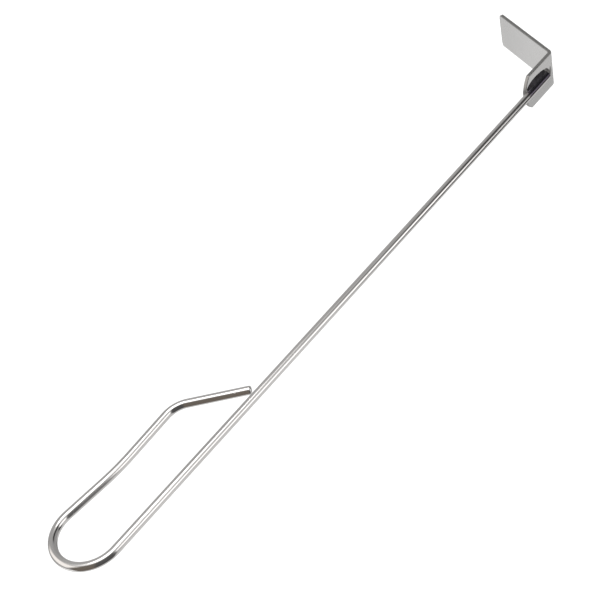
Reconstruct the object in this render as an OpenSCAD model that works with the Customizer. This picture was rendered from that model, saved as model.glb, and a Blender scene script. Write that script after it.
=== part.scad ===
// Long-handled hive scraper: a round bar bent into a hand loop at one end,
// with a bent strip blade welded to its other end.
// The shaft lies along X with its tip at the origin and its hand loop at -X.
// The loop and the blade both stand out towards +Y, and +Z is across the strip.

/* [Shaft] */
// Diameter of the round bar
rod_d = 5; // [4:0.5:6]
// Length of the straight shaft, from its tip to the start of the loop's round end
shaft_l = 421.5; // [300:0.5:600]

/* [Hand loop] */
// Radius of the loop's round end, to the bar's centreline
loop_r = 19; // [16:0.5:24]
// Angle the bar turns through at the round end
loop_turn = 185.8; // [182:0.1:188]
// Straight length between the round end and the sweep
heel_l = 24.5; // [15:0.5:35]
// Radius of the gentle sweep in the side of the loop
sweep_r = 140; // [80:5:200]
// Angle of the sweep
sweep_turn = 8.3; // [4:0.1:12]
// Straight length between the sweep and the shoulder
grip_l = 30; // [20:1:45]
// Radius of the shoulder, where the bar turns in towards the shaft
shoulder_r = 16; // [12:1:24]
// Angle of the shoulder
shoulder_turn = 50; // [40:1:60]
// Gap between the bar's free end and the shaft
end_gap = 0.6; // [0.2:0.1:2]

/* [Blade] */
// Width of the strip
strip_w = 25; // [20:1:40]
// Thickness of the strip
strip_t = 2.5; // [1.5:0.5:3]
// Length of the blade, from the outside corner of the bend to its tip
blade_l = 63.5; // [40:0.5:90]
// Length of the flange, from the outside corner of the bend to the crown of its end
flange_l = 35.7; // [35:0.1:50]
// Angle the blade is opened beyond square to the shaft
blade_open = 28; // [0:1:40]
// Inside radius of the bend in the strip
bend_r = 2.2; // [0.5:0.1:4]
// Radius of the rounded end of the flange
crown_r = 16; // [13:1:30]
// Radius of the two corners at the blade's tip
tip_r = 1.5; // [0.5:0.5:3]
// Distance from the shaft's tip to the outside corner of the bend
corner_x = 12.2; // [11.5:0.1:15]
// How far the middle of the strip sits below the shaft's axis
strip_drop = 2.3; // [0:0.1:3]

/* [Weld] */
// Length of the two side beads, measured back from the shaft's tip
bead_l = 22; // [18:0.5:23]
// How far a side bead reaches from the shaft's axis where it is widest
bead_w = 5.6; // [4.5:0.1:6.5]
// Where a side bead is widest, as a fraction of its outline's length from the back
bead_peak = 0.4; // [0.3:0.01:0.6]
// Radius of the bead around the shaft's tip
tip_bead_r = 3.6; // [3:0.1:4]
// How far ahead of the shaft's end face the tip bead's dome is centred
tip_bead_ahead = 1.2; // [0:0.1:2]

/* [Hidden] */
$fn = 48;
rod_r = rod_d / 2;
bar_lap = 0.05;
bend_thinning = 0.02;

// the loop's headings, in degrees from the shaft's own direction
heel_heading = 180 - loop_turn;
grip_heading = heel_heading + sweep_turn;
arm_heading = grip_heading - shoulder_turn;

// distance of the bar's centreline from the shaft's axis, after each part of the loop
heel_y = loop_r * (1 - cos(loop_turn));
sweep_y = heel_y + heel_l * sin(heel_heading);
grip_y = sweep_y + sweep_r * (cos(heel_heading) - cos(grip_heading));
shoulder_y = grip_y + grip_l * sin(grip_heading);
arm_y = shoulder_y - shoulder_r * (cos(grip_heading) - cos(arm_heading));
arm_end_y = rod_r + end_gap + rod_r * cos(arm_heading);
arm_l = (arm_y - arm_end_y) / sin(-arm_heading);

// the strip's bend
bend_turn = 90 - blade_open;
bend_out_r = bend_r + strip_t;
bend_setback = bend_out_r * tan(bend_turn / 2);
blade_flat_l = blade_l - bend_setback;
flange_flat_l = flange_l - bend_setback;
bend_steps = 12;

// the weld beads
bead_overrun = 5;
bead_outline_l = bead_l + bead_overrun;
bead_power = ln(0.5) / ln(bead_peak);
bead_steps = 14;
bead_blunt = 0.02;
bead_root_z = 1;
// its face is round about an axis this far behind the flange's face and the shaft's axis
bead_axis_back = 7;
bead_axis_drop = 2;
tip_bead_lean = 75;

// A straight length of bar along X, with its children at its far end.
// Each end laps into the bend it meets, which is drawn a hair thinner.
module bar(l) {
  translate([-bar_lap, 0, 0])
    rotate([0, 90, 0])
      cylinder(d = rod_d, h = l + 2 * bar_lap);
  translate([l, 0, 0])
    children();
}

// A bend to the left, with its children at its far end
module left_bend(r, turn) {
  translate([0, r, 0]) {
    rotate([0, 0, -90])
      rotate_extrude(angle = turn)
        translate([r, 0])
          circle(d = rod_d - bend_thinning);
    rotate([0, 0, turn])
      translate([0, -r, 0])
        children();
  }
}

// A bend to the right, with its children at its far end
module right_bend(r, turn) {
  mirror([0, 1, 0])
    left_bend(r, turn)
      mirror([0, 1, 0])
        children();
}

// The whole bar: shaft, round end, heel, sweep, grip, shoulder and closing arm
module handle_rod() {
  color("#d3d4d2")
    rotate([0, 0, 180])
      bar(shaft_l)
        right_bend(loop_r, loop_turn)
          bar(heel_l)
            left_bend(sweep_r, sweep_turn)
              bar(grip_l)
                right_bend(shoulder_r, shoulder_turn)
                  bar(arm_l);
}

// A point of the strip's bend, at radius r and after turning through a
function bend_point(r, a) = [r * sin(a), bend_out_r - r * cos(a)];

// The strip seen from its edge, with the start of its bend at the origin
module strip_profile() {
  turns = [for (i = [0 : bend_steps]) bend_turn * i / bend_steps];
  along = blade_flat_l * [cos(bend_turn), sin(bend_turn)];
  outside = [for (a = turns) bend_point(bend_out_r, a)];
  inside = [for (a = turns) bend_point(bend_r, bend_turn - a)];
  polygon(concat(
    [[-flange_flat_l - 1, strip_t], [-flange_flat_l - 1, 0]],
    outside,
    [outside[bend_steps] + along, inside[0] + along],
    inside
  ));
}

// What is cut off the flange to leave its rounded end
module crown_cut() {
  difference() {
    translate([-crown_r - 2, -1, -strip_w])
      cube([crown_r + 2, strip_t + 2, 2 * strip_w]);
    translate([0, -2, 0])
      rotate([-90, 0, 0])
        cylinder(r = crown_r, h = strip_t + 4);
  }
}

// What is cut off the blade's +Z corner, about the middle of the corner's round
module tip_cut() {
  for (a = [22.5 : 22.5 : 67.5])
    rotate([0, -a, 0])
      translate([tip_r, -2 * strip_t, -2 * tip_r])
        cube([tip_r, 4 * strip_t, 4 * tip_r]);
}

// The strip: flange along the shaft, bend, and blade
module scraper_blade() {
  color("#bcbcb8")
    translate([corner_x - bend_setback, rod_r, -strip_drop])
      difference() {
        linear_extrude(strip_w, center = true)
          strip_profile();
        translate([crown_r - flange_flat_l, 0, 0])
          crown_cut();
        translate(concat(bend_point(bend_out_r, bend_turn), [0]))
          rotate([0, 0, bend_turn])
            for (side = [0, 1])
              mirror([0, 0, side])
                translate([blade_flat_l - tip_r, 0, strip_w / 2 - tip_r])
                  tip_cut();
      }
}

// How far a side bead's edge on the flange is from the shaft's axis, at a fraction t of its outline
function bead_toe(t) = bead_root_z + (bead_w - bead_root_z) * sqrt(sin(180 * pow(t, bead_power)));

// A side bead, filling the corner between the bar and the flange on the +Z side.
// Its outline runs on past the shaft's tip, and the bead is cut off square there.
module side_bead() {
  profile = [
    for (i = [0 : bead_steps])
      let (along = i / bead_steps, t = bead_blunt + (1 - 2 * bead_blunt) * along)
        [norm([bead_axis_back, bead_toe(t) + bead_axis_drop]), bead_outline_l * along]
  ];
  intersection() {
    difference() {
      translate([-bead_l, rod_r + bead_axis_back, -bead_axis_drop])
        rotate([0, 90, 0])
          rotate_extrude()
            polygon(concat([[0, 0]], profile, [[0, bead_outline_l]]));
      translate([-bead_l - 1, 0, 0])
        rotate([0, 90, 0])
          cylinder(d = rod_d, h = bead_outline_l + 2);
    }
    translate([-bead_l - 1, -rod_r, bead_root_z])
      cube([bead_l + 1, rod_d, 2 * bead_w]);
  }
}

module weld_bead_near() {
  color("#3c3a40")
    side_bead();
}

module weld_bead_far() {
  color("#3c3a40")
    mirror([0, 0, 1])
      side_bead();
}

// The bead in the corner between the shaft's end face and the flange, part of a dome
module weld_bead_tip() {
  arc = [for (a = [0 : 15 : tip_bead_lean]) tip_bead_r * [cos(a), sin(a)]];
  color("#4a484c")
    intersection() {
      translate([tip_bead_ahead, rod_r, 0])
        rotate([90, 0, 0])
          rotate_extrude()
            polygon(concat([[0, 0]], arc, [[0, tip_bead_r * sin(tip_bead_lean)]]));
      translate([0, -2 * tip_bead_r, -2 * tip_bead_r])
        cube(4 * tip_bead_r);
    }
}

handle_rod();
scraper_blade();
weld_bead_near();
weld_bead_far();
weld_bead_tip();
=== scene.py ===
"""The hive tool's looks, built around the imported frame.

Each of the frame's five nodes is replaced by a finer mesh of the same size: a bar swept along
its bent centreline, a strip bent from a flat blank, and three rippled weld beads.
Lengths named in millimetres are turned into metres where the meshes are made.
"""

import math

import bpy
from mathutils import Matrix, Vector, noise


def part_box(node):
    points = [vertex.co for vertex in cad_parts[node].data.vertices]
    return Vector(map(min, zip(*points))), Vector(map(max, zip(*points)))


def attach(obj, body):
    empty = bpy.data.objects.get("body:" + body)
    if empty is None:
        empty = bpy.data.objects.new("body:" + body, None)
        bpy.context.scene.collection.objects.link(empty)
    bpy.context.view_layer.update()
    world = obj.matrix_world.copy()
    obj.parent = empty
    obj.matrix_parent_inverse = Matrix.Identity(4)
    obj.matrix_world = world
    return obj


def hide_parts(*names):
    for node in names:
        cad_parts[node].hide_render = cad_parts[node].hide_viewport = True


MM = 0.001
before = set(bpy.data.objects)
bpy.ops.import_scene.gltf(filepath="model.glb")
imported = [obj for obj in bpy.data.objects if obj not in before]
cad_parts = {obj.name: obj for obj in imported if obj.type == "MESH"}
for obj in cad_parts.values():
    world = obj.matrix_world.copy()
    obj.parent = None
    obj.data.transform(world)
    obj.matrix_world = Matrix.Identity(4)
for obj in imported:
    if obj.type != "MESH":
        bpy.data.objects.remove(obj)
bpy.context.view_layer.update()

# ---------------------------------------------------------------- sizes, in millimetres

# the bar, from the shaft's tip at the origin round the loop to its free end
ROD_R = 2.5
SHAFT_L = 421.5
LOOP_R = 19.0
LOOP_TURN = 185.8
HEEL_L = 24.5
SWEEP_R = 140.0
SWEEP_TURN = 8.3
GRIP_L = 30.0
SHOULDER_R = 16.0
SHOULDER_TURN = 50.0
END_GAP = 0.6
TIP_ROUND = 0.35
FREE_END_ROUND = 1.2
# share of its width that the bar loses in a bend as tight as its own radius
FLATTENING = 0.22
# the mesh's fineness: sides, steps in millimetres, in degrees, and at a rounded end
BAR_SIDES = 72
BAR_STEP = 4.0
BEND_STEP = 3.0
CAP_STEPS = 6

# the strip, whose width, faces and ends come from the frame
strip_low, strip_high = (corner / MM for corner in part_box("scraper_blade"))
STRIP_W = strip_high.z - strip_low.z
STRIP_MID_Z = (strip_high.z + strip_low.z) / 2
STRIP_T = 2.5
BLADE_L = 63.5
BLADE_OPEN = 28.0
BEND_R = 2.2
CROWN_R = 16.0
CROWN_CORNER_R = 0.7
TIP_R = 1.5
EDGE_R = 0.4
CORNER_X = 12.2
STRIP_COLUMNS = 14
# the last row of the flat flange stops this far short of the bend
BEND_MARGIN = 0.4

# the weld beads, whose back end comes from the frame
bead_low, _ = (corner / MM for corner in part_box("weld_bead_near"))
BEAD_OVERRUN = 5.0
BEAD_W = 5.6
BEAD_PEAK = 0.4
BEAD_AXIS_Y = ROD_R + 7.0
BEAD_AXIS_Z = -2.0
BEAD_ROOT_Z = 1.0
BEAD_BLUNT = 0.02
TIP_BEAD_R = 3.6
TIP_BEAD_AHEAD = 1.2
RIPPLE_PITCH = 1.3
RIPPLE_HEIGHT = 0.09
SINK = 0.04

# ---------------------------------------------------------------- meshes


def make_piece(name, places, faces, material, attributes):
    """A smooth mesh piece, from places in millimetres, with one value per point and attribute."""
    mesh = bpy.data.meshes.new(name)
    mesh.from_pydata([place * MM for place in places], [], faces)
    for label, values in attributes.items():
        kind = "FLOAT_VECTOR" if isinstance(values[0], Vector) else "FLOAT"
        layer = mesh.attributes.new(label, kind, "POINT")
        if kind == "FLOAT":
            layer.data.foreach_set("value", values)
        else:
            layer.data.foreach_set("vector", [number for value in values for number in value])
    mesh.shade_smooth()
    mesh.materials.append(material)
    piece = bpy.data.objects.new(name, mesh)
    bpy.context.scene.collection.objects.link(piece)
    return piece


def bridge(ring_a, ring_b):
    """Quads between two closed rings of the same length."""
    count = len(ring_a)
    return [
        (ring_a[i], ring_a[(i + 1) % count], ring_b[(i + 1) % count], ring_b[i])
        for i in range(count)
    ]


def bar_stretches():
    """The bar's straights and bends in order.

    Each is (length, radius, turn in degrees). A straight has no radius, and a bend no length."""
    heel_heading = 180 - LOOP_TURN
    grip_heading = heel_heading + SWEEP_TURN
    arm_heading = grip_heading - SHOULDER_TURN

    def cosine(angle):
        return math.cos(math.radians(angle))

    def sine(angle):
        return math.sin(math.radians(angle))

    arm_top = (
        LOOP_R * (1 - cosine(LOOP_TURN))
        + HEEL_L * sine(heel_heading)
        + SWEEP_R * (cosine(heel_heading) - cosine(grip_heading))
        + GRIP_L * sine(grip_heading)
        - SHOULDER_R * (cosine(grip_heading) - cosine(arm_heading))
    )
    arm_end = ROD_R + END_GAP + ROD_R * cosine(arm_heading)
    arm_l = (arm_top - arm_end) / sine(-arm_heading)
    return [
        (SHAFT_L, None, 0),
        (None, LOOP_R, -LOOP_TURN),
        (HEEL_L, None, 0),
        (None, SWEEP_R, SWEEP_TURN),
        (GRIP_L, None, 0),
        (None, SHOULDER_R, -SHOULDER_TURN),
        (arm_l, None, 0),
    ]


def bar_stations():
    """(place, heading in radians, bend) of each station along the centreline.

    Bend is the bar's radius over the bend's radius, eased to nothing at the bend's two ends."""
    place, heading = Vector((0, 0, 0)), math.pi
    stations = [(place.copy(), heading, 0.0)]
    for length, radius, turn in bar_stretches():
        angle = math.radians(turn)
        if radius is None:
            steps = math.ceil(length / BAR_STEP)
        else:
            length = radius * abs(angle)
            steps = math.ceil(max(abs(turn) / BEND_STEP, length / BAR_STEP))
        for step in range(steps):
            chord = length / steps
            if radius is not None:
                chord = 2 * radius * math.sin(abs(angle) / steps / 2)
            middle = heading + angle / steps / 2
            place = place + chord * Vector((math.cos(middle), math.sin(middle), 0))
            heading += angle / steps
            bend = 0.0
            if radius is not None:
                bend = ROD_R / radius * math.sin(math.pi * (step + 1) / steps) ** 0.5
            stations.append((place.copy(), heading, bend))
    return stations


def bar_rings():
    """(place, heading, radius, bend) of each ring, with the rounded ends added."""
    stations = bar_stations()
    rings = []
    for (place, heading, _), size, sign in (
        (stations[0], TIP_ROUND, -1),
        (stations[-1], FREE_END_ROUND, 1),
    ):
        ahead = Vector((math.cos(heading), math.sin(heading), 0))
        cap = []
        for step in range(1, CAP_STEPS + 1):
            lean = math.pi / 2 * step / CAP_STEPS
            back = size * (1 - math.sin(lean))
            radius = ROD_R - size * (1 - math.cos(lean))
            cap.append((place - sign * back * ahead, heading, radius, 0.0))
        face = cap[-1]
        for share in (0.66, 0.33):
            cap.append((face[0], heading, face[2] * share, 0.0))
        rings.append(cap)
    body = []
    for place, heading, bend in stations[1:-1]:
        body.append((place, heading, ROD_R, bend))
    first, last = stations[0], stations[-1]
    tip_ahead = Vector((math.cos(first[1]), math.sin(first[1]), 0))
    end_ahead = Vector((math.cos(last[1]), math.sin(last[1]), 0))
    body.insert(0, (first[0] + TIP_ROUND * tip_ahead, first[1], ROD_R, 0.0))
    body.append((last[0] - FREE_END_ROUND * end_ahead, last[1], ROD_R, 0.0))
    return rings[0][::-1] + body + rings[1]


def make_bar(material):
    """The bent bar. Its grain attribute holds each point's place on the bar before bending."""
    places, grain, faces = [], [], []
    ring_ids = []
    run, before = 0.0, None
    for place, heading, radius, bend in bar_rings():
        if before is not None:
            run += (place - before).length
        before = place
        side = Vector((-math.sin(heading), math.cos(heading), 0))
        flat = FLATTENING * bend
        ids = []
        for corner in range(BAR_SIDES):
            angle = 2 * math.pi * corner / BAR_SIDES
            across = radius * math.cos(angle) * (1 - flat)
            rise = radius * math.sin(angle) * (1 + flat / 2)
            ids.append(len(places))
            places.append(place + side * across + Vector((0, 0, rise)))
            grain.append(Vector((run, radius * math.cos(angle), radius * math.sin(angle))))
        ring_ids.append(ids)
    for ring_a, ring_b in zip(ring_ids, ring_ids[1:]):
        faces += bridge(ring_a, ring_b)
    for ids, turned in ((ring_ids[0], True), (ring_ids[-1], False)):
        middle = sum((places[i] for i in ids), Vector()) / len(ids)
        places.append(middle)
        grain.append(Vector((grain[ids[0]].x, 0, 0)))
        hub = len(places) - 1
        for i, one in enumerate(ids):
            two = ids[(i + 1) % len(ids)]
            faces.append((two, one, hub) if turned else (one, two, hub))
    return make_piece("bent_bar", places, faces, material, {"grain": grain})


def strip_sizes():
    """Lengths of the blank's flat flange, its bend (on the middle layer) and its flat blade."""
    turn = math.radians(90 - BLADE_OPEN)
    setback = (BEND_R + STRIP_T) * math.tan(turn / 2)
    flange = CORNER_X - setback - strip_low.x
    return flange, turn * (BEND_R + STRIP_T / 2), BLADE_L - setback


def crown_rows():
    """Rows of the flat blank across the flange's crown and the two small corners beside it."""
    half = STRIP_W / 2
    rows = []
    corner_c = CROWN_R - CROWN_CORNER_R
    corner_v = half - CROWN_CORNER_R
    meet = math.degrees(math.asin(corner_v / corner_c))
    crown_steps = 12
    for step in range(1, crown_steps + 1):
        angle = meet * step / crown_steps
        lean = math.radians(angle)
        rows.append((CROWN_R * (1 - math.cos(lean)), CROWN_R * math.sin(lean), 180 - angle))
    corner_u = CROWN_R - corner_c * math.cos(math.radians(meet))
    for step in range(1, 5):
        angle = meet + (90 - meet) * step / 4
        lean = math.radians(angle)
        rows.append(
            (
                corner_u - CROWN_CORNER_R * math.cos(lean),
                corner_v + CROWN_CORNER_R * math.sin(lean),
                180 - angle,
            )
        )
    return rows


def blank_rows():
    """Rows of the flat blank, from the flange's crown to the blade's tip.

    Each row is (run at its ends, half width, heading of the outline's normal in degrees), and
    the run is measured along the strip from the crown."""
    flange, arc, blade = strip_sizes()
    total = flange + arc + blade
    half = STRIP_W / 2
    rows = crown_rows()
    crown_end = rows[-1][0]
    blade_start = flange + arc
    straight = [crown_end + (flange - BEND_MARGIN - crown_end) * i / 5 for i in range(1, 6)]
    straight += [flange + arc * i / 14 for i in range(15)]
    straight += [blade_start + (total - TIP_R - blade_start) * i / 10 for i in range(1, 11)]
    rows += [(run, half, 90) for run in straight]
    for step in range(1, 6):
        lean = math.radians(18 * step)
        rows.append(
            (
                total - TIP_R + TIP_R * math.sin(lean),
                half - TIP_R + TIP_R * math.cos(lean),
                90 - 18 * step,
            )
        )
    return rows


def row_points(rows, index):
    """(run, across, heading of the normal) of a row's points, from -Z to +Z."""
    run, width, heading = rows[index]
    points = []
    for column in range(STRIP_COLUMNS + 1):
        share = 2 * column / STRIP_COLUMNS - 1
        across = width * share
        along = run
        normal = heading if share > 0 else -heading
        if index == 0:
            along = CROWN_R - math.sqrt(CROWN_R**2 - across**2)
            normal = 180 - math.degrees(math.asin(across / CROWN_R))
        elif index == len(rows) - 1:
            normal = 0
        points.append((along, across, normal))
    return points


def inset(point, amount):
    """(run, across) of an outline point after moving it into the blank, square to the outline."""
    run, across, normal = point
    lean = math.radians(normal)
    return run - amount * math.cos(lean), across - amount * math.sin(lean)


def rim_levels():
    """(inset, height, edge) of each ring round the cut edges, from the outer face inwards."""
    levels = []
    for step in range(1, 5):
        lean = math.radians(22.5 * step)
        amount = EDGE_R * (1 - math.sin(lean))
        height = EDGE_R * (1 - math.cos(lean))
        levels.append((amount, height, 0.6 if amount > 0 else 1.0))
    return levels + [(amount, STRIP_T - height, edge) for amount, height, edge in levels[::-1]]


def bend_blank(run, across, height):
    """Where a point of the blank goes when it is bent. Height is from the outer face, inwards."""
    turn = math.radians(90 - BLADE_OPEN)
    flange, arc, _ = strip_sizes()
    start_x = strip_low.x + flange
    outer_r = BEND_R + STRIP_T
    if run <= flange:
        x, y = strip_low.x + run, height
    elif run <= flange + arc:
        angle = turn * (run - flange) / arc
        x = start_x + (outer_r - height) * math.sin(angle)
        y = outer_r - (outer_r - height) * math.cos(angle)
    else:
        past = run - flange - arc
        x = start_x + (outer_r - height) * math.sin(turn) + past * math.cos(turn)
        y = outer_r - (outer_r - height) * math.cos(turn) + past * math.sin(turn)
    return Vector((x, strip_low.y + y, STRIP_MID_Z + across))


def make_strip(material):
    """The strip, bent from a flat blank with rounded edges.

    Its blank attribute holds each point's place before bending, and rim is 1 on its cut edges."""
    rows = blank_rows()
    grid = [row_points(rows, index) for index in range(len(rows))]
    last_row, last_column = len(rows) - 1, STRIP_COLUMNS
    places, blank, rim, faces = [], [], [], []

    def add(run, across, height, edge):
        places.append(bend_blank(run, across, height))
        blank.append(Vector((run, across, height)))
        rim.append(edge)
        return len(places) - 1

    sheets = []
    for height in (0, STRIP_T):
        sheet = []
        for index, row in enumerate(grid):
            line = []
            for column, point in enumerate(row):
                on_outline = index in (0, last_row) or column in (0, last_column)
                run, across = inset(point, EDGE_R if on_outline else 0)
                line.append(add(run, across, height, 0.0))
            sheet.append(line)
        sheets.append(sheet)
    for sheet, turned in zip(sheets, (False, True)):
        for row_a, row_b in zip(sheet, sheet[1:]):
            for c in range(last_column):
                quad = (row_a[c], row_b[c], row_b[c + 1], row_a[c + 1])
                faces.append(quad[::-1] if turned else quad)

    outline = [(0, c) for c in range(last_column)]
    outline += [(i, last_column) for i in range(last_row)]
    outline += [(last_row, c) for c in range(last_column, 0, -1)]
    outline += [(i, 0) for i in range(last_row, 0, -1)]
    rings = [[sheets[0][i][c] for i, c in outline]]
    for amount, height, edge in rim_levels():
        ring = []
        for i, c in outline:
            run, across = inset(grid[i][c], amount)
            ring.append(add(run, across, height, edge))
        rings.append(ring)
    rings.append([sheets[1][i][c] for i, c in outline])
    for ring_a, ring_b in zip(rings, rings[1:]):
        faces += bridge(ring_a, ring_b)
    piece = make_piece("bent_strip", places, faces, material, {"blank": blank, "rim": rim})
    weighted = piece.modifiers.new("flat_faces", "WEIGHTED_NORMAL")
    weighted.keep_sharp = False
    weighted.weight = 100
    return piece


def bead_fullness(share):
    """How much of its full width a side bead has, at a share of its outline's length."""
    power = math.log(0.5) / math.log(BEAD_PEAK)
    return math.sqrt(math.sin(math.pi * share**power))


def bead_arc(radius, steps):
    """(y, z) points of a side bead's face, from its toe on the flange to its toe on the bar."""
    centre = Vector((BEAD_AXIS_Y, BEAD_AXIS_Z))
    to_bar = centre.length
    first = -math.asin((ROD_R - BEAD_AXIS_Y) / radius)
    bar_way = math.atan2(centre.x, -centre.y)
    opening = math.acos((radius**2 + to_bar**2 - ROD_R**2) / (2 * radius * to_bar))
    last = bar_way - opening
    turns = [first + (last - first) * step / steps for step in range(steps + 1)]
    return [centre + radius * Vector((-math.sin(turn), math.cos(turn))) for turn in turns]


def make_side_bead(name, side, material):
    """The bead in the corner of the bar and the flange, on the side of +Z (1) or -Z (-1)."""
    stations, arc_steps, root_steps = 96, 20, 6
    centre = Vector((BEAD_AXIS_Y, BEAD_AXIS_Z))
    root_angle = math.asin(BEAD_ROOT_Z / ROD_R)
    places, faces, rings = [], [], []
    for station in range(stations + 1):
        x = bead_low.x * (1 - station / stations)
        share = BEAD_BLUNT + (1 - 2 * BEAD_BLUNT) * (x - bead_low.x) / (BEAD_OVERRUN - bead_low.x)
        fullness = bead_fullness(share)
        toe = BEAD_ROOT_Z + (BEAD_W - BEAD_ROOT_Z) * fullness
        radius = math.hypot(ROD_R - BEAD_AXIS_Y, toe - BEAD_AXIS_Z)
        ring = []
        for step, spot in enumerate(bead_arc(radius, arc_steps)):
            middle = abs(2 * step / arc_steps - 1)
            phase = (x / RIPPLE_PITCH + 0.5 * middle**2) % 1
            ripple = RIPPLE_HEIGHT * (0.4 - (2 * phase - 1) ** 2)
            wander = 0.1 * noise.noise(Vector((x * 0.8, spot.x * 0.6, spot.y * 0.6 + 9 * side)))
            swell = (ripple + wander) * (1 - middle**4) * fullness
            spot = spot + (spot - centre).normalized() * swell
            spot = spot.normalized() * max(spot.length, ROD_R - SINK)
            ring.append(Vector((min(spot.x, ROD_R + SINK), spot.y)))
        ring[0].x = ROD_R + SINK
        bar_angle = math.atan2(ring[-1].y, ring[-1].x)
        for step in range(1, root_steps + 1):
            angle = bar_angle + (root_angle - bar_angle) * step / root_steps
            ring.append((ROD_R - SINK) * Vector((math.cos(angle), math.sin(angle))))
        ring.append(Vector((ROD_R + SINK, BEAD_ROOT_Z)))
        rings.append(range(len(places), len(places) + len(ring)))
        places += [Vector((x, spot.x, side * spot.y)) for spot in ring]
    for ring_a, ring_b in zip(rings, rings[1:]):
        faces += bridge(ring_a, ring_b)
    faces.append(tuple(rings[0])[::-1])
    faces.append(tuple(rings[-1]))
    if side < 0:
        faces = [face[::-1] for face in faces]
    return make_piece(name, places, faces, material, {"bead": places})


def make_tip_bead(material):
    """The rippled dome in the corner of the shaft's end and the flange, cut off at the shaft."""
    turns, rises = 72, 16
    centre = Vector((TIP_BEAD_AHEAD, ROD_R + SINK, 0))
    places, faces, rings = [], [], []
    for rise in range(rises):
        lean = math.pi / 2 * rise / rises
        rings.append(range(len(places), len(places) + turns))
        for turn in range(turns):
            around = 2 * math.pi * turn / turns - math.pi
            phase = (around * TIP_BEAD_R / RIPPLE_PITCH + 0.5 * (rise / rises) ** 2) % 1
            swell = RIPPLE_HEIGHT * (0.4 - (2 * phase - 1) ** 2)
            swell += 0.12 * noise.noise(Vector((2.0 * around, 2.0 * lean, 4.0)))
            away = Vector((math.cos(around), 0, math.sin(around))) * math.cos(lean)
            away.y = -math.sin(lean)
            spot = centre + (TIP_BEAD_R + swell * math.cos(lean)) * away
            places.append(Vector((max(spot.x, -SINK), spot.y, spot.z)))
    places.append(centre - Vector((0, TIP_BEAD_R, 0)))
    top = len(places) - 1
    for ring_a, ring_b in zip(rings, rings[1:]):
        faces += bridge(ring_a, ring_b)
    faces += [(rings[-1][i], rings[-1][(i + 1) % turns], top) for i in range(turns)]
    faces.append(tuple(rings[0])[::-1])
    return make_piece("tip_weld", places, faces, material, {"bead": places})


# ---------------------------------------------------------------- materials


class Graph:
    """Short calls that add linked nodes to a node tree."""

    def __init__(self, tree):
        self.tree = tree
        tree.nodes.clear()

    def feed(self, socket, value):
        if isinstance(value, bpy.types.NodeSocket):
            self.tree.links.new(value, socket)
        else:
            socket.default_value = value

    def add(self, kind, settings=None, **inputs):
        node = self.tree.nodes.new(kind)
        for name, value in (settings or {}).items():
            setattr(node, name, value)
        for name, value in inputs.items():
            self.feed(node.inputs[name.replace("_", " ")], value)
        return node

    def math(self, operation, *values):
        node = self.add("ShaderNodeMath", {"operation": operation})
        for socket, value in zip(node.inputs, values):
            self.feed(socket, value)
        return node.outputs[0]

    def vector(self, operation, *values):
        node = self.add("ShaderNodeVectorMath", {"operation": operation})
        for socket, value in zip(node.inputs, values):
            self.feed(socket, value)
        return node.outputs[1 if operation == "DOT_PRODUCT" else 0]

    def step(self, value, low, high, out_low=0.0, out_high=1.0):
        """A smooth step from out_low to out_high as value goes from low to high."""
        node = self.add("ShaderNodeMapRange", {"interpolation_type": "SMOOTHSTEP"})
        for socket, number in zip(node.inputs, (value, low, high, out_low, out_high)):
            self.feed(socket, number)
        return node.outputs[0]

    def blend(self, factor, first, second):
        """The first colour where the factor is 0 and the second where it is 1."""
        node = self.add("ShaderNodeMix", {"data_type": "RGBA"})
        self.feed(node.inputs[0], factor)
        self.feed(node.inputs[6], first)
        self.feed(node.inputs[7], second)
        return node.outputs[2]

    def noise(self, vector, scale, detail=2.0, roughness=0.5):
        node = self.add("ShaderNodeTexNoise", Vector=vector, Scale=scale, Detail=detail)
        self.feed(node.inputs["Roughness"], roughness)
        return node.outputs[0]

    def stretched(self, vector, x, y, z):
        """The vector scaled by a different number along each axis."""
        return self.vector("MULTIPLY", vector, (x, y, z))

    def ramp(self, factor, stops):
        node = self.add("ShaderNodeValToRGB", Fac=factor)
        elements = node.color_ramp.elements
        while len(elements) < len(stops):
            elements.new(0.5)
        for element, (place, colour) in zip(elements, stops):
            element.position = place
            element.color = (*colour, 1)
        return node.outputs[0]

    def named(self, attribute):
        node = self.add("ShaderNodeAttribute", {"attribute_name": attribute})
        return node.outputs["Vector"], node.outputs["Fac"]

    def bump(self, height, distance, strength, under=None):
        node = self.add("ShaderNodeBump", Height=height, Distance=distance, Strength=strength)
        if under is not None:
            self.feed(node.inputs["Normal"], under)
        return node.outputs[0]

    def finish(self, colour, roughness, normal):
        """Ends a metal's graph."""
        shader = self.add(
            "ShaderNodeBsdfPrincipled",
            Base_Color=colour,
            Roughness=roughness,
            Metallic=1.0,
            Normal=normal,
        )
        self.add("ShaderNodeOutputMaterial", Surface=shader.outputs[0])


def new_material(name):
    material = bpy.data.materials.new(name)
    material.use_nodes = True
    return material, Graph(material.node_tree)


def grey(graph, tone):
    """The same number in all three channels."""
    return graph.add("ShaderNodeCombineXYZ", X=tone, Y=tone, Z=tone).outputs[0]


STEEL = (0.74, 0.72, 0.705)
HAZE = (0.44, 0.40, 0.41)
VIOLET = (0.20, 0.17, 0.23)
OXIDE = (0.09, 0.085, 0.10)
# the heat tint fades over these distances from the bar's tip
HEATED_RUN = (19.0, 30.0)
# and round the bar it fades over these distances towards one side, left as bare steel there for a
# painted highlight line
HIGHLIGHT_SIDE = (0.0, 0.785, -0.619)
HIGHLIGHT_SIDE_FADE = (-0.6, 2.6)


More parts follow.
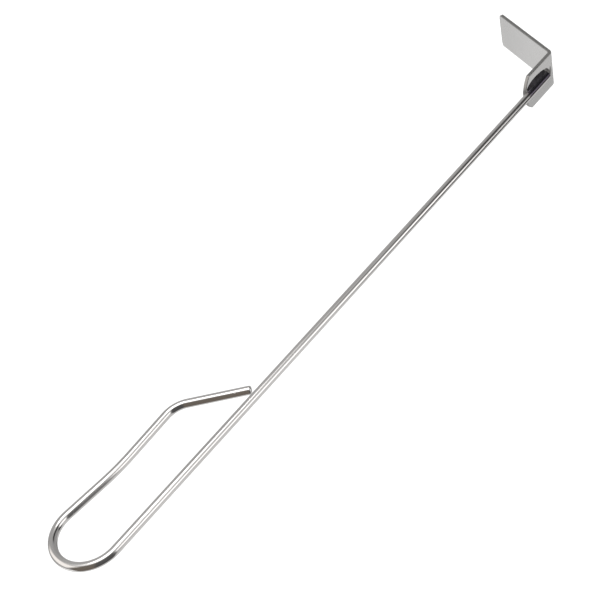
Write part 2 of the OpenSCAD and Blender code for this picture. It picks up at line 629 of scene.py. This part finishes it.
def bar_material():
    """Polished round stainless bar: fine draw lines, smudges, nicks, and heat tint at its tip,
    kept off one side as a painted highlight.
    """
    material, graph = new_material("polished_bar")
    grain, _ = graph.named("grain")
    lines = graph.noise(graph.stretched(grain, 0.02, 4.0, 4.0), 1.0, 3.0, 0.6)
    long_lines = graph.noise(graph.stretched(grain, 0.004, 1.3, 1.3), 1.0, 2.0)
    smudge = graph.noise(graph.stretched(grain, 0.03, 0.12, 0.12), 1.0, 3.0)
    nicks = graph.noise(graph.stretched(grain, 0.35, 0.9, 0.9), 1.0, 1.0)
    nick_depth = graph.step(nicks, 0.74, 0.80)
    run = graph.add("ShaderNodeSeparateXYZ", Vector=grain).outputs[0]
    wobble = graph.math("MULTIPLY", graph.math("SUBTRACT", smudge, 0.5), 6.0)
    cooled = graph.step(graph.math("ADD", run, wobble), *HEATED_RUN)
    # painted highlight: the tint thins out towards one side of the bar, leaving a bright line of
    # bare steel
    aside = graph.vector("DOT_PRODUCT", grain, HIGHLIGHT_SIDE)
    aside = graph.math("ADD", aside, graph.math("MULTIPLY", wobble, 0.1))
    untinted_for_highlight = graph.step(aside, *HIGHLIGHT_SIDE_FADE)
    clean = graph.math("MAXIMUM", cooled, untinted_for_highlight)
    tint = graph.ramp(
        clean,
        [(0.0, OXIDE), (0.33, VIOLET), (0.62, HAZE), (0.88, STEEL), (1.0, STEEL)],
    )
    shade = graph.step(smudge, 0.3, 0.7, 0.94, 1.03)
    streak = graph.step(long_lines, 0.35, 0.65, 0.96, 1.02)
    colour = graph.vector("MULTIPLY", tint, grey(graph, graph.math("MULTIPLY", shade, streak)))
    rough = graph.step(smudge, 0.35, 0.7, 0.10, 0.17)
    rough = graph.math("ADD", rough, graph.step(clean, 0.0, 0.7, 0.12, 0.0))
    rough = graph.math("ADD", rough, graph.math("MULTIPLY", nick_depth, 0.15))
    normal = graph.bump(lines, 0.00001, 0.35)
    normal = graph.bump(nick_depth, -0.00004, 0.6, normal)
    graph.finish(colour, rough, normal)
    return material


SHEET = (0.73, 0.722, 0.713)
EDGE_STEEL = (0.34, 0.335, 0.325)
DARK_SPOT = (0.07, 0.068, 0.066)
# the dark spot's middle, from the shaft's tip and axis, and its half length and half width
DARK_SPOT_AHEAD = 7.8
DARK_SPOT_ASIDE = -1.3
DARK_SPOT_LENGTH = 1.2
DARK_SPOT_WIDTH = 3.0


def strip_material():
    """Satin rolled sheet: fine grain along the strip, scratches, darker cut edges, one small dark
    spot.
    """
    material, graph = new_material("satin_strip")
    blank, _ = graph.named("blank")
    _, rim = graph.named("rim")
    run, across, height = graph.add("ShaderNodeSeparateXYZ", Vector=blank).outputs
    rolled = graph.noise(graph.stretched(blank, 0.12, 6.0, 3.0), 1.0, 3.0, 0.6)
    pebble = graph.noise(blank, 5.0, 2.0)
    cloud = graph.noise(blank, 0.09, 3.0)
    scuff = graph.noise(graph.stretched(blank, 1.6, 0.12, 1.0), 1.0, 2.0, 0.55)
    scuffs = graph.step(scuff, 0.66, 0.72)
    shear = graph.noise(graph.stretched(blank, 4.5, 4.5, 0.35), 1.0, 2.0)
    # the sheet darker towards the blade's tip, and mottled at random
    tip_darkening_and_mottle = graph.step(run, 45.0, 98.0, 1.0, 0.9)
    tip_darkening_and_mottle = graph.math("MULTIPLY", tip_darkening_and_mottle, graph.step(cloud, 0.3, 0.7, 0.96, 1.02))
    shaded = graph.step(across, -5.0, 4.0, 0.8, 1.0)
    shaded = graph.step(run, 30.0, 40.0, shaded, 1.0)
    clean = graph.math("MULTIPLY", tip_darkening_and_mottle, shaded)
    sheet = graph.vector("MULTIPLY", SHEET, grey(graph, clean))
    cut = graph.step(shear, 0.3, 0.7, 0.8, 1.2)
    sheared = graph.vector("MULTIPLY", EDGE_STEEL, grey(graph, cut))
    colour = graph.blend(rim, sheet, sheared)
    # a small dark spot painted on the outer face of the flange, near the bend
    ahead = graph.math("SUBTRACT", run, DARK_SPOT_AHEAD - strip_low.x)
    ahead = graph.math("POWER", graph.math("DIVIDE", ahead, DARK_SPOT_LENGTH), 2.0)
    aside = graph.math("SUBTRACT", across, DARK_SPOT_ASIDE - STRIP_MID_Z)
    aside = graph.math("POWER", graph.math("DIVIDE", aside, DARK_SPOT_WIDTH), 2.0)
    ragged = graph.math("SUBTRACT", graph.noise(blank, 1.2, 3.0), 0.5)
    spot = graph.math("ADD", graph.math("ADD", ahead, aside), ragged)
    dark_spot_mask = graph.step(spot, 0.2, 1.4, 0.7, 0.0)
    outer_face = graph.step(height, 0.3, 0.8, 1.0, 0.0)
    dark_spot_mask = graph.math("MULTIPLY", dark_spot_mask, outer_face)
    colour = graph.blend(dark_spot_mask, colour, (*DARK_SPOT, 1))
    rough = graph.step(cloud, 0.3, 0.7, 0.16, 0.24)
    rough = graph.math("ADD", rough, graph.math("MULTIPLY", rim, 0.12))
    rough = graph.math("ADD", rough, graph.math("MULTIPLY", scuffs, 0.1))
    normal = graph.bump(rolled, 0.00002, 0.35)
    normal = graph.bump(pebble, 0.00001, 0.2, normal)
    normal = graph.bump(scuffs, -0.00002, 0.3, normal)
    normal = graph.bump(graph.math("MULTIPLY", shear, rim), 0.00006, 0.5, normal)
    graph.finish(colour, rough, normal)
    return material


def weld_material():
    """Dark heat-oxidised weld metal, a little lighter where the bead ends past the shaft's tip."""
    material, graph = new_material("oxidised_weld")
    bead, _ = graph.named("bead")
    x = graph.add("ShaderNodeSeparateXYZ", Vector=bead).outputs[0]
    cloud = graph.noise(bead, 0.35, 3.0)
    fine = graph.noise(bead, 4.0, 3.0, 0.6)
    dark = graph.ramp(
        cloud,
        [(0.3, (0.03, 0.029, 0.029)), (0.5, (0.042, 0.039, 0.044)), (0.7, (0.065, 0.061, 0.067))],
    )
    colour = graph.blend(graph.step(x, -1.5, 2.0, 0.0, 0.9), dark, (0.24, 0.23, 0.22, 1))
    rough = graph.step(fine, 0.3, 0.7, 0.36, 0.5)
    normal = graph.bump(fine, 0.00004, 0.5)
    graph.finish(colour, rough, normal)
    return material


# ---------------------------------------------------------------- pieces

bar = make_bar(bar_material())
strip = make_strip(strip_material())
weld_metal = weld_material()
near_bead = make_side_bead("near_weld", 1, weld_metal)
far_bead = make_side_bead("far_weld", -1, weld_metal)
tip_bead = make_tip_bead(weld_metal)

STANDS_FOR = (
    (bar, "handle_rod", "bar"),
    (strip, "scraper_blade", "strip"),
    (near_bead, "weld_bead_near", "weld"),
    (far_bead, "weld_bead_far", "weld"),
    (tip_bead, "weld_bead_tip", "weld"),
)
for piece, node, slot in STANDS_FOR:
    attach(piece, "root")
    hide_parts(node)

# the satin strip is too dull to mirror the bar and the beads on it
for piece in (bar, near_bead, far_bead, tip_bead):
    piece.visible_glossy = False

# ---------------------------------------------------------------- studio


def direction(longitude, latitude):
    """The unit vector at a longitude from +X towards +Y and a latitude above the XY plane."""
    lon, lat = math.radians(longitude), math.radians(latitude)
    return Vector((math.cos(lat) * math.cos(lon), math.cos(lat) * math.sin(lon), math.sin(lat)))


def card(graph, ray, behind, longitude, latitude, width, height, soft, tone, warmth=0.0):
    """Adds one soft-edged card to the reflected studio. Sizes are half angles in degrees."""
    centre = direction(longitude, latitude)
    across = direction(longitude + 90, 0)
    upward = centre.cross(across)
    ahead = graph.vector("DOT_PRODUCT", ray, tuple(centre))
    sideways = graph.vector("DOT_PRODUCT", ray, tuple(across))
    rise = graph.vector("DOT_PRODUCT", ray, tuple(upward))
    side_angle = graph.math("ABSOLUTE", graph.math("ARCTAN2", sideways, ahead))
    rise_angle = graph.math("ABSOLUTE", graph.math("ARCSINE", rise))
    blur = math.radians(soft)
    wide, tall = math.radians(width), math.radians(height)
    mask = graph.math(
        "MULTIPLY",
        graph.step(side_angle, wide - blur, wide + blur, 1.0, 0.0),
        graph.step(rise_angle, tall - blur, tall + blur, 1.0, 0.0),
    )
    colour = (tone * (1 + warmth), tone, tone * (1 - warmth), 1)
    return graph.blend(mask, behind, colour)


# what the steel reflects: a name, then longitude, latitude, half width, half height, softness,
# brightness, and sometimes warmth
CARDS = (
    ("grey wall ahead", 70, 20, 26, 42, 12, 0.48),
    ("dark gap ahead", -16, 40, 20, 12, 6, 0.035),
    ("dark gap low ahead", -47, -10, 9, 16, 5, 0.03),
    ("dark floor ahead", 16, -37, 12, 9, 7, 0.10),
    ("low white sheet", -67, -25, 10, 24, 6, 0.74),
    ("window", -63, 17, 15, 15, 4, 1.7),
    ("grey above the window", -64, 45, 12, 14, 6, 0.70),
    ("dark room behind the camera", -135, 2, 53, 54, 6, 0.10),
    ("brown wall of that room", -162, 2, 26, 54, 6, 0.16, 0.15),
    ("white card behind the loop", 136, 28, 29, 26, 8, 1.2, 0.03),
    ("low light behind", 152, -38, 16, 8, 5, 1.2),
    ("pale sheet beyond the blade", 88, -34, 13, 8, 5, 0.78),
)
# behind the cards: latitudes where the ceiling starts and is full, and where the floor ends and
# the wall is full
CEILING_FROM, CEILING_TO = 53.0, 72.0
FLOOR_TO, WALL_FROM = -42.0, -18.0
CEILING, FLOOR_TONE, WALL_TONE = 1.15, 0.75, 0.39


def make_world():
    """White to the camera and to the floor, and a light tent with dark gaps to the steel."""
    world = bpy.data.worlds.new("studio")
    world.use_nodes = True
    bpy.context.scene.world = world
    graph = Graph(world.node_tree)
    ray = graph.add("ShaderNodeTexCoord").outputs["Generated"]
    height = graph.add("ShaderNodeSeparateXYZ", Vector=ray).outputs[2]
    latitude = graph.math("ARCSINE", height)
    foot, top = math.radians(FLOOR_TO), math.radians(WALL_FROM)
    tone = grey(graph, graph.step(latitude, foot, top, FLOOR_TONE, WALL_TONE))
    for _, *sizes in CARDS:
        tone = card(graph, ray, tone, *sizes)
    above = graph.step(latitude, math.radians(CEILING_FROM), math.radians(CEILING_TO))
    tone = graph.blend(above, tone, (CEILING, CEILING, CEILING, 1))
    path = graph.add("ShaderNodeLightPath")
    mirrored = path.outputs["Is Glossy Ray"]
    colour = graph.blend(mirrored, (1, 1, 1, 1), tone)
    light = graph.add("ShaderNodeBackground", Color=colour, Strength=1.0)
    graph.add("ShaderNodeOutputWorld", Surface=light.outputs[0])


FLOOR_DROP = 0.25
FLOOR_SIZE = 12.0


def make_floor():
    """A plain white floor well below the tool, which the steel doesn't reflect."""
    mesh = bpy.data.meshes.new("floor")
    half = FLOOR_SIZE / 2
    corners = [(-half, -half), (half, -half), (half, half), (-half, half)]
    mesh.from_pydata([(x, y, -FLOOR_DROP) for x, y in corners], [], [(0, 1, 2, 3)])
    floor = bpy.data.objects.new("floor", mesh)
    bpy.context.scene.collection.objects.link(floor)
    floor.visible_glossy = False
    material, graph = new_material("floor_paint")
    shader = graph.add(
        "ShaderNodeBsdfPrincipled",
        Base_Color=(0.93, 0.93, 0.93, 1),
        Roughness=0.8,
        Emission_Color=(1, 1, 1, 1),
        Emission_Strength=0.12,
    )
    graph.add("ShaderNodeOutputMaterial", Surface=shader.outputs[0])
    mesh.materials.append(material)


def make_softbox():
    """One large soft light overhead."""
    light = bpy.data.lights.new("softbox", "AREA")
    light.shape = "DISK"
    light.size = 1.2
    light.energy = 6.0
    softbox = bpy.data.objects.new("softbox", light)
    softbox.location = (-0.2, 0.0, 1.6)
    bpy.context.scene.collection.objects.link(softbox)


VIEW_AZIMUTH = -40.216
VIEW_ELEVATION = 42.476
VIEW_ROLL = -17.11
VIEW_DISTANCE = 0.6703
VIEW_LENS = 70.28
AIM = Vector((-0.24203, 0.02307, 0.0))


def make_camera():
    """The camera, aimed at a point of the tool's middle plane."""
    azimuth, elevation = math.radians(VIEW_AZIMUTH), math.radians(VIEW_ELEVATION)
    back = Vector(
        (
            math.sin(azimuth) * math.cos(elevation),
            -math.cos(azimuth) * math.cos(elevation),
            math.sin(elevation),
        )
    )
    camera_data = bpy.data.cameras.new("camera")
    camera_data.lens = VIEW_LENS
    camera_data.sensor_width = 36
    camera_data.clip_start = 0.01
    camera = bpy.data.objects.new("camera", camera_data)
    turned = (-back).to_track_quat("-Z", "Y").to_matrix()
    roll = Matrix.Rotation(math.radians(VIEW_ROLL), 3, "Z")
    camera.matrix_world = Matrix.Translation(AIM + back * VIEW_DISTANCE) @ (turned @ roll).to_4x4()
    bpy.context.scene.collection.objects.link(camera)
    bpy.context.scene.camera = camera


make_world()
make_floor()
make_softbox()
make_camera()
bpy.context.scene.view_settings.view_transform = "Standard"

bpy.context.view_layer.update()
